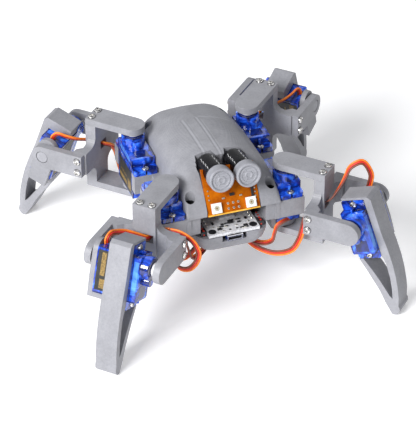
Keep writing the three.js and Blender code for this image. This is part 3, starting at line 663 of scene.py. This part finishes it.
def shell_grid(inset, base, rows=76, across=12):
    """The dome as a closed solid, drawn in by an inset and flat at the base."""
    ys = [s[0] for s in SHELL]
    columns = list(range(len(SECTION_X)))
    rings = []
    for k in range(rows + 1):
        y = ys[0] + (ys[-1] - ys[0]) * (k / rows)
        tops = [spline(ys, [s[c + 1] for s in SHELL], y) for c in columns]
        profile = [(spline(columns, SECTION_X, s), spline(columns, tops, s)) for s in section_steps(across)]
        bow = [(-REAR_BOW * (x / BODY_X) ** 4 if y > BOW_Y else 0) * min(max((y - BOW_Y) / BOW_RUN, 0), 1)
               for x, _ in profile]
        end = -1 if y < 0 else 1
        drawn_y = y - end * inset * min(max((abs(y) - DRAW_Y) / DRAW_RUN, 0), 1)
        points = [(max(x - inset, 0), drawn_y + b, max(z - inset, base + 0.2))
                  for (x, z), b in zip(profile, bow)]
        points = [(points[0][0], points[0][1], base), *points]
        rings.append([*points, *[(-x, y, z) for x, y, z in points[:-1][::-1]]])
    bm = bmesh.new()
    grid = [[bm.verts.new(p) for p in r] for r in rings]
    n = len(grid[0])
    for a, b in zip(grid, grid[1:]):
        for i in range(n):
            j = (i + 1) % n
            bm.faces.new((a[i], a[j], b[j], b[i]))
    bm.faces.new(grid[0])
    bm.faces.new(grid[-1][::-1])
    bmesh.ops.recalc_face_normals(bm, faces=bm.faces)
    return bm


def eye_matrix(x):
    """Along +z from the front of a cap backwards."""
    return (Matrix.Translation((x, EYE_Y, EYE_Z)) @ Matrix.Rotation(-math.radians(EYE_RISE), 4, "X")
            @ Matrix.Rotation(-math.pi / 2, 4, "X"))


def cylinder(r, z0, z1, sides=48, centre=(0, 0)):
    """A round bar along z."""
    return lathe([(0, z0), (r, z0), (r, z1), (0, z1)], sides, centre)


def turned(bm, matrix):
    """A mesh moved by a matrix that doesn't mirror."""
    bmesh.ops.transform(bm, matrix=matrix, verts=bm.verts)
    return bm


def top_shell():
    """The dome with its front opening, the eyes' scoops, a slot at the rear and four counterbores darkened by
    painted shade on their walls.
    """
    opening = plate([(-14, -45), (14, -45), (12.6, -17.2), (-12.6, -17.2)], 50, 80)
    scoops = [turned(cylinder(r, -2, far), eye_matrix(x)) for x in (-EYE_X, EYE_X)
              for r, far in ((CAP_R + 0.2, 21), (BARREL_R + 0.5, 27))]
    rear_slot = rounded(-17, 17, 37.2, 42, 54.1, 54.75, 0.2, 1)
    bores = [cylinder(BORE_R, SCREW_HEAD_Z, 80, 28, at) for at in SHELL_SCREWS]
    inner = shell_grid(SHELL_WALL, SHELL_Z0 - 2)
    body = carve(shell_grid(0, SHELL_Z0), inner, opening, *scoops, rear_slot, *bores)
    cups = [carve(cylinder(BORE_R + 0.6, SCREW_HEAD_Z - 1, 58.6, 28, at),
                  cylinder(BORE_R, SCREW_HEAD_Z, 60, 28, at)) for at in SHELL_SCREWS]
    # Painted shade: a thin black lining up the wall of each counterbore.
    shade_linings = [carve(cylinder(BORE_R + 0.05, SCREW_HEAD_Z + 0.02, 58.9, 28, at),
                     cylinder(BORE_R - 0.1, SCREW_HEAD_Z - 0.6, 60, 28, at)) for at in SHELL_SCREWS]
    whole = merge(body, *cups, *[(lining, 1) for lining in shade_linings])
    mesh = finish_mesh("top_shell_dome", place(whole, Matrix()), [PRINT_DOME, BLACK_AND_SHADE], 40)
    put("top_shell_dome", mesh, "body", ["top_shell"])


top_shell()

# ---- Printed parts -------------------------------------------------------------------------------
refine("chassis_frame", PRINT_Z, 0.25)
refine("bottom_tray", PRINT_Z, 0.3)
for leg, (sx, sy) in LEGS.items():
    across = PRINT_B if sx * sy > 0 else PRINT_A
    for part, material in (("hip_top_arm", PRINT_Z), ("hip_bracket", across), ("tibia", across),
                           ("fork_horn_arm", across), ("fork_idler_arm", across)):
        refine(f"{leg}_{part}", material, 0.35)
    for part in ("hip_horn", "knee_horn"):
        refine(f"{leg}_{part}", HORN, 0.15)


# ---- Servos --------------------------------------------------------------------------------------
CASE_TOP, TURRET_TOP = 22.7, 26.7
TAB_TIP = (10.6, -21.6)
TAB_HOLE_R = 1.05


def tab_outline(y, tip):
    """A tab's outline, from inside the case to its tip, with its screw hole at y slotted open to the end."""
    way = 1 if tip > y else -1
    angles = [math.radians(29 + k * 302 / 14) for k in range(15)]
    notch = [(0.5, tip), *[(TAB_HOLE_R * math.sin(a), y + way * TAB_HOLE_R * math.cos(a)) for a in angles],
             (-0.5, tip)]
    root = 5.8 if way > 0 else -16.8
    shoulder = tip - way * 0.8
    outline = [(-6.1, root), (-6.1, shoulder), (-5.3, tip), *notch[::-1],
               (5.3, tip), (6.1, shoulder), (6.1, root)]
    return outline if way < 0 else outline[::-1]


def servo_case():
    """The case, from its bottom at z = 0: three shells, a lid, two tabs, two gear turrets and two ribs."""
    return [
        rounded(-6.1, 6.1, -16.9, 5.9, 0, 4.3, 0.45),
        rounded(-6.0, 6.0, -16.8, 5.8, 4.2, 15.9, 0.35),
        rounded(-6.1, 6.1, -16.9, 5.9, 15.75, 19.0, 0.3),
        rounded(-6.02, 6.02, -16.82, 5.82, 18.9, CASE_TOP, 0.5),
        bevel(plate(tab_outline(TAB_Y[0], TAB_TIP[0]), 15.9, 18.4), 0.12, 1),
        bevel(plate(tab_outline(TAB_Y[1], TAB_TIP[1]), 15.9, 18.4), 0.12, 1),
        lathe([(0, 22.6), (5.9, 22.6), (5.9, 26.3), (5.5, TURRET_TOP), (0, TURRET_TOP)], 40),
        lathe([(0, 22.6), (2.6, 22.6), (2.6, 26.4), (2.3, TURRET_TOP), (0, TURRET_TOP)], 24, (0, -6.4)),
        rounded(-0.5, 0.5, 5.85, 7.4, 18.3, 22.0, 0.15, 1),
        rounded(-0.5, 0.5, -18.4, -16.85, 18.3, 22.0, 0.15, 1),
    ]


def servo_seams_and_shade():
    """The dark lines of a clear case: the seams between its shells, painted shade down its corners, and the
    gears' outlines.
    """
    dark = [
        rounded(-6.14, 6.14, -16.94, 5.94, 4.05, 4.4, 0.04, 1),
        rounded(-6.14, 6.14, -16.94, 5.94, 15.35, 15.85, 0.04, 1),
        rounded(-6.06, 6.06, -16.86, 5.86, 18.75, 19.15, 0.04, 1),
    ]
    # Painted shade: a dark strip down each corner of the clear case.
    for x in (-1, 1):
        for y in (-16.93, 5.33):
            low, high = sorted((x * 5.55, x * 6.13))
            dark.append(rounded(low, high, y, y + 0.6, 0.3, 22.3, 0.05, 1))
    top = TURRET_TOP + 0.02
    return [
        *dark,
        lathe([(3.0, top), (5.0, top), (5.0, top + 0.04), (3.0, top + 0.04), (3.0, top)], 36),
        rounded(-3.4, 3.4, -15.4, -9.4, CASE_TOP - 0.02, CASE_TOP + 0.06, 0.03, 1),
        rounded(-5.98, -5.2, -16, -7, CASE_TOP - 0.02, CASE_TOP + 0.06, 0.03, 1),
    ]


def servo_label():
    """A dark label round the case, with plain gold panels."""
    panels = [
        rounded(-6.2, 6.2, -14.2, -9.6, 3.0, 8.2, 0.03, 1),
        rounded(-6.2, 6.2, -8.0, 3.4, 2.8, 5.2, 0.03, 1),
        rounded(-6.2, 6.2, -8.0, 1.0, 7.6, 8.2, 0.03, 1),
    ]
    return merge(rounded(-6.16, 6.16, -15.4, 4.4, 0.8, 14.6, 0.05, 1), *[(panel, 1) for panel in panels])


def servo(name, node, matrix, body):
    """A whole servo in place of its CAD node, and its label as a piece of its own."""
    shaft = lathe([(0, 26.6), (2.3, 26.6), (2.3, 28.9), (2.0, 29.2), (0, 29.2)], 20)
    # Painted highlights: paler patches on the case's sides below the lid and across its ends at the tabs.
    lit = [rounded(-6.14, 6.14, -13.2, 3.2, 19.5, 22.0, 0.1, 1),
           rounded(-4.6, 4.6, -16.95, 5.95, 16.3, 18.2, 0.1, 1)]
    whole = merge(*servo_case(), (shaft, 1), *[(line, 2) for line in servo_seams_and_shade()],
                  *[(patch, 3) for patch in lit])
    mesh = finish_mesh(name, place(whole, matrix), [BLUE, HORN, BLUE_SEAMS_AND_SHADE, BLUE_HIGHLIGHT], 36)
    put(name, mesh, body, [node])
    put(name + "_label", finish_mesh(name + "_label", place(servo_label(), matrix), [LABEL, GOLD], 30), body)


# ---- Screws --------------------------------------------------------------------------------------
def screw_mesh(name, radius, height, material):
    """A pan head with a cross slot and a thin dark rim of painted shadow under it, its seat at z = 0."""
    dome = lathe([(0, -1.2), (radius * 0.5, -1.2), (radius * 0.5, 0), (radius, 0), (radius, height * 0.35),
                  (radius * 0.9, height * 0.72), (radius * 0.62, height * 0.94), (0, height)], 28)
    arm = radius * 0.62
    head = carve(dome, rounded(-arm, arm, -0.22, 0.22, height * 0.35, height + 1, 0.05, 1),
                 rounded(-0.22, 0.22, -arm, arm, height * 0.35, height + 1, 0.05, 1))
    # Painted shadow: a thin black ring round the foot of the head.
    rim = lathe([(0, 0), (radius + 0.22, 0), (radius + 0.22, 0.05), (0, 0.05)], 28)
    whole = merge(head, (rim, 1))
    return finish_mesh(name, place(whole, Matrix()), [material, BLACK_AND_SHADE], 38)


PAN = screw_mesh("screw_pan", 1.75, 1.15, CHROME)
SMALL = screw_mesh("screw_small", 1.7, 1.0, CHROME)
DEEP = screw_mesh("screw_deep", 1.75, 1.1, DARK_STEEL)


def screw(name, mesh, at, axis, turn, body):
    """Seats a screw at a point in millimetres, its head along the axis and its slot turned by degrees."""
    aim = Vector(axis).normalized().to_track_quat("Z", "Y").to_matrix().to_4x4()
    put(name, mesh, body, (),
        Matrix.Translation(Vector(at) * MM) @ aim @ Matrix.Rotation(math.radians(turn), 4, "Z"))


for i, (x, y) in enumerate(SHELL_SCREWS):
    screw(f"shell_screw_{i}", DEEP, (x, y, SCREW_HEAD_Z), (0, 0, 1), 20 + 31 * i, "body")

# Screw seats: on the top arm and on the fork arms, HALF_PAIR either side of their middles, and on the tabs.
TOP_ARM_U, TOP_ARM_Z, FORK_U, HALF_PAIR = 21.3, 70, 21.2, 3.1
HIP_TAB_Z, KNEE_TAB_W = 55.8, 5.5


def leg_motors_and_screws(index, leg):
    """A leg's two servos and its ten screws; the slots turn differently on each leg."""
    sx, sy = LEGS[leg]
    to_row = leg_matrix(leg)
    turn = to_row.to_3x3()
    hip, shin = f"{leg}_hip", f"{leg}_shin"
    hip_case = Matrix.Translation((sx * HIP_X, sy * HIP_Y, HIP_SERVO_Z)) @ Matrix.Diagonal((sx, sy, 1, 1))
    knee_case = to_row @ SHIN @ Matrix.Translation((0, 0, KNEE_SERVO_W))
    servo(f"{leg}_hip_motor", f"{leg}_hip_servo", hip_case, "body")
    servo(f"{leg}_knee_motor", f"{leg}_knee_servo", knee_case, shin)
    for k, side in enumerate((-1, 1)):
        twist = 17 * index + 40 * k
        seat = to_row @ Vector((TOP_ARM_U, HALF_PAIR * side, TOP_ARM_Z))
        screw(f"{leg}_top_arm_screw_{k}", PAN, seat, (0, 0, 1), twist, hip)
        for arm, w in (("horn", 1), ("idler", -1)):
            seat = to_row @ Vector((FORK_U, FORK_OUT * w, KNEE_Z + HALF_PAIR * side))
            screw(f"{leg}_{arm}_arm_screw_{k}", PAN, seat, turn @ Vector((0, w, 0)), twist + 25, hip)
        seat = (sx * HIP_X, sy * (HIP_Y + TAB_Y[k]), HIP_TAB_Z)
        screw(f"{leg}_hip_tab_screw_{k}", SMALL, seat, (0, 0, 1), twist + 9, "body")
        seat = to_row @ (SHIN @ Vector((0, TAB_Y[k], KNEE_TAB_W)))
        shaft_way = turn @ (SHIN.to_3x3() @ Vector((0, 0, 1)))
        screw(f"{leg}_knee_tab_screw_{k}", SMALL, seat, shaft_way, twist + 50, shin)


for index, leg in enumerate(LEGS):
    leg_motors_and_screws(index, leg)


# ---- Eyes ----------------------------------------------------------------------------------------
def eye_marks():
    """Two rows of plain white ticks along a barrel."""
    marks = []
    for k in range(24):
        row, z = k // 12, 8.4 + 1.05 * (k % 12)
        wide = (0.34, 0.22)[row] + 0.16 * ((k * 5) % 3)
        long = 0.34 + 0.14 * (k % 2)
        tick = rounded(BARREL_R - 0.3, BARREL_R + 0.04, -wide / 2, wide / 2, z, z + long, 0.03, 1)
        angle = math.radians((288, 222)[row] + 2.5 * ((k * 7) % 3))
        marks.append(turned(tick, Matrix.Rotation(angle, 4, "Z")))
    return marks


def eye(side, x):
    """A black barrel with a rounded rear, and a grey cap with shallow rings and three spokes."""
    at = eye_matrix(x)
    r = BARREL_R
    barrel = lathe([(0, 6.1), (r - 0.4, 6.1), (r - 0.4, 7.3), (r, 7.6), (r, 21.8), (r - 0.35, 23.6),
                    (r - 1.2, 24.8), (r - 2.4, 25.4), (0, 25.5)], 48)
    band = lathe([(0, 9.0), (r + 0.04, 9.0), (r + 0.04, 9.25), (0, 9.25)], 48)
    whole = merge(barrel, band, *[(mark, 1) for mark in eye_marks()])
    mesh = finish_mesh(f"eye_tube_{side}", place(whole, at), [BARREL, WHITE_MARK], 36)
    put(f"eye_tube_{side}", mesh, "body", [f"eye_barrel_{side}"])
    r = CAP_R
    cap = lathe([(0, 0.62), (1.0, 0.6), (1.25, 0.42), (1.9, 0.42), (2.15, 0.66), (3.3, 0.66), (3.5, 0.5),
                 (4.1, 0.5), (4.3, 0.7), (4.75, 0.66), (5.05, 0.16), (5.5, 0.0), (r - 0.3, 0.14), (r, 0.55),
                 (r, 5.5), (r - 0.5, 6.0), (0, 6.0)], 56)
    spoke_turns = [Matrix.Rotation(math.radians(angle), 4, "Z") for angle in (35, 150, 262)]
    spokes = [turned(rounded(-0.22, 0.22, 1.1, 3.4, 0.5, 1.2, 0.1, 1), turn) for turn in spoke_turns]
    mesh = finish_mesh(f"eye_ring_{side}", place(merge(cap, *spokes), at), CAP_MAT, 30)
    put(f"eye_ring_{side}", mesh, "body", [f"eye_cap_{side}"])


# ---- Boards --------------------------------------------------------------------------------------
# The sensor board's frame: x across it, y up its face from the lower edge, z out of the face.
TILTED = Matrix.Translation((0, -39, 53.4)) @ Matrix.Rotation(math.radians(60), 4, "X")
LED_X, LED_SIZE = 8.7, 5


def pad(r, top, x, y, sides=12):
    """A solder pad: a low cone with a rounded tip."""
    return lathe([(0, 0), (r, 0), (r - 0.05, 0.3), (0, top)], sides, (x, y))


def sensor_board():
    """The board, its amber edge, six large pads with holes, rows of small pads, chips and two lamps."""
    refine("sensor_board", AMBER, 0.15)
    rim = rounded(-13.1, 13.1, 0.02, 0.7, 0.01, 0.2, 0.05, 1)
    put("sensor_board_rim", finish_mesh("sensor_board_rim", place(rim, TILTED), AMBER_RIM), "body")
    grid = [(x, y) for x in (-2.6, 0, 2.6) for y in (2.4, 4.9)]
    pads = [lathe([(0, 0), (0.62, 0), (0.55, 0.22), (0.2, 0.34), (0, 0.34)], 16, at) for at in grid]
    pads += [pad(0.45, 0.36, 11.6, 4.2 + 1.9 * k) for k in range(8)]
    pads += [pad(0.45, 0.36, -11.6, 8 + 2.2 * k) for k in range(3)]
    holes = [lathe([(0, 0.3), (0.26, 0.3), (0.26, 0.38), (0, 0.38)], 12, at) for at in grid]
    whole = merge(*pads, *[(hole, 1) for hole in holes])
    mesh = finish_mesh("sensor_board_pads", place(whole, TILTED), [SOLDER, BLACK_AND_SHADE])
    put("sensor_board_pads", mesh, "body")
    whole = merge(rounded(9.6, 10.7, 5, 18.6, 0, 0.9, 0.1, 1), rounded(-1.2, 1.2, 8.2, 9.6, 0, 0.7, 0.1, 1),
                  (rounded(3.6, 5.0, 7.3, 8.1, 0, 0.5, 0.08, 1), 1),
                  (rounded(-5.2, -3.8, 7.3, 8.1, 0, 0.5, 0.08, 1), 1))
    mesh = finish_mesh("sensor_board_parts", place(whole, TILTED), [BLACK_AND_SHADE, SOLDER])
    put("sensor_board_parts", mesh, "body")
    for side, x in (("right", -LED_X), ("left", LED_X)):
        body = rounded(x - LED_SIZE / 2, x + LED_SIZE / 2, 1.1, 1.1 + LED_SIZE, 0.02, 1.45, 0.25)
        lens = lathe([(0, 1.3), (1.5, 1.3), (1.35, 1.46), (0, 1.48)], 28, (x, 1.1 + LED_SIZE / 2))
        die = rounded(x - 0.45, x + 0.45, 3.2, 4.0, 1.4, 1.5, 0.03, 1)
        mesh = finish_mesh(f"led_lamp_{side}", place(merge(body, (lens, 1), (die, 2)), TILTED),
                           [LED, LED_LENS, GOLD])
        put(f"led_lamp_{side}", mesh, "body", [f"led_{side}"])


def on_board(x, y, wide, deep, high, round_by=0.1):
    """A block standing on the control board, by its middle and size."""
    left, near = x - wide / 2, y - deep / 2
    return rounded(left, x + wide / 2, near, y + deep / 2, BOARD_TOP, BOARD_TOP + high, round_by, 1)


# Chips on the control board: x, y, width, depth, height; then the places of its larger tinned parts.
CHIPS = ((-6.5, -35.8, 2.2, 1.2, 0.8), (6.6, -36.2, 2.0, 1.2, 0.7), (-4.0, -32.4, 1.6, 0.9, 0.6),
         (4.4, -32.6, 1.6, 0.9, 0.6), (0.4, -31.6, 2.4, 2.2, 0.9), (-8.3, -30.4, 1.0, 1.8, 0.6),
         (8.5, -30.6, 1.0, 1.8, 0.6), (-1.6, -37.4, 0.9, 0.7, 0.5), (1.9, -37.3, 0.9, 0.7, 0.5))
TINNED = ((-5.0, -37.6), (4.8, -37.7), (-2.4, -34.6), (2.6, -34.8), (-9.0, -33.4), (9.1, -33.6))


def control_board():
    """The white board's pins, chips and dark mounting holes, and the red blocks on the carrier below it."""
    pins = [lathe([(0, BOARD_TOP), (0.55, BOARD_TOP), (0.3, 43.1), (0, 43.3)], 10, (x, -31.5 + PIN_PITCH * k))
            for k in range(15) for x in (-11.4, 11.4)]
    dark = [on_board(*chip) for chip in CHIPS]
    tin = [*pins, *[on_board(x, y, 1.0, 0.6, 0.4, 0.06) for x, y in TINNED]]
    for k in range(26):
        x, y = -9.4 + (k * 7.3) % 18.8, -37.9 + (k * 3.7) % 9.2
        if abs(abs(x) - BOARD_HOLE[0]) > 3 or y > -34:
            (dark if k % 3 else tin).append(on_board(x, y, 1.0, 0.56, 0.45 + 0.1 * (k % 3), 0.05))
    holes = [lathe([(0, 42.45), (1.95, 42.45), (1.95, 42.62), (0, 42.62)], 28, (x, BOARD_HOLE[1]))
             for x in (-BOARD_HOLE[0], BOARD_HOLE[0])]
    red = [rounded(s * 14.9 - 1.0, s * 14.9 + 1.0, -27.4 + 7.2 * k, -24.6 + 7.2 * k, 38.15, 39.4, 0.15, 1)
           for s in (-1, 1) for k in range(5)]
    for name, items, material in (("board_chips", [*dark, *holes], BLACK_AND_SHADE),
                                  ("board_solder", tin, SOLDER), ("board_marks", red, RED_PART)):
        put(name, finish_mesh(name, place(merge(*items), Matrix()), material), "body")


def side_headers():
    """Black sockets beside the control board with red marks on top and in front."""
    blocks = [rounded(*sorted((s * 13.15, s * 16.1)), -36.6, -28.2, 40.75, 43.4, 0.15, 1) for s in (-1, 1)]
    marks = [rounded(s * 14.6 - 0.45, s * 14.6 + 0.45, y, y + 0.9, 43.3, 43.75, 0.06, 1)
             for s in (-1, 1) for y in (-36.0, -34.0, -32.0, -30.0)]
    marks += [rounded(s * 14.6 - 0.4, s * 14.6 + 0.4, -36.7, -36.3, 41.3, 42.1, 0.06, 1) for s in (-1, 1)]
    whole = merge(*blocks, *[(mark, 1) for mark in marks])
    put("side_headers", finish_mesh("side_headers", place(whole, Matrix()), [BLACK_AND_SHADE, RED_PART]), "body")


def usb_socket():
    """A dark blue shell with a black lining and tongue."""
    shell = carve(rounded(-4.05, 4.05, -40.45, -35, 37.95, 41.0, 0.4),
                  rounded(-3.5, 3.5, -42, -36, 38.5, 40.5, 0.3))
    lining = carve(rounded(-3.52, 3.52, -40.3, -36.5, 38.48, 40.52, 0.3),
                   rounded(-3.3, 3.3, -41, -37.2, 38.7, 40.3, 0.2))
    tongue = rounded(-2.8, 2.8, -39.6, -36, 39.2, 39.8, 0.1, 1)
    lip = rounded(-2.4, 2.4, -40.3, -40.0, 40.55, 40.8, 0.05, 1)
    whole = merge(shell, (lining, 1), (tongue, 1), (lip, 2))
    put("usb_socket", finish_mesh("usb_socket", place(whole, Matrix()), [BLUE_PART, BLACK_AND_SHADE, DARK_STEEL]),
        "body")


for side, x in (("right", -EYE_X), ("left", EYE_X)):
    eye(side, x)
sensor_board()
refine("carrier_board", BLACK_AND_SHADE, 0.12)
refine("control_board", SILVER_BOARD, 0.12)
control_board()
side_headers()
usb_socket()


# ---- Floor and light -----------------------------------------------------------------------------
FLOOR_HALF, FLOOR_DROP = 4, 0.0002
FLOOR_GLOW, SKY_STRENGTH = 0.25, 0.42
LIGHTS = (("key", (-1.0, -0.62, 0.8), 0.6, 27), ("back", (0.3, 1.2, 1.1), 0.9, 2.5))  # place, size, watts


def make_floor():
    bm = bmesh.new()
    bmesh.ops.create_grid(bm, x_segments=8, y_segments=8, size=FLOOR_HALF)
    n = Nodes("floor")
    shade = n.ramp(n.noise(3, 2), [(0.3, (0.9, 0.9, 0.905)), (0.7, (0.94, 0.94, 0.945))])
    n.link(shade, n.shader.inputs["Base Color"])
    n.shader.inputs["Roughness"].default_value = 0.6
    n.shader.inputs["Emission Color"].default_value = (1, 1, 1, 1)
    n.shader.inputs["Emission Strength"].default_value = FLOOR_GLOW
    floor = bpy.data.objects.new("floor", finish_mesh("floor", bm, n.material))
    floor.location.z = -FLOOR_DROP
    bpy.context.scene.collection.objects.link(floor)


def make_light():
    world = bpy.data.worlds.new("world")
    bpy.context.scene.world = world
    world.use_nodes = True
    sky = world.node_tree.nodes["Background"]
    sky.inputs["Color"].default_value = (0.96, 0.97, 1.0, 1)
    sky.inputs["Strength"].default_value = SKY_STRENGTH
    for name, at, size, power in LIGHTS:
        light = bpy.data.lights.new(name, "AREA")
        light.shape = "SQUARE"
        light.size = size
        light.energy = power
        lamp = bpy.data.objects.new(name, light)
        lamp.location = at
        lamp.rotation_mode = "QUATERNION"
        lamp.rotation_quaternion = (Vector((0, 0, 0.03)) - Vector(at)).to_track_quat("-Z", "Y")
        bpy.context.scene.collection.objects.link(lamp)
    bpy.context.scene.view_settings.view_transform = "Standard"


make_floor()
make_light()
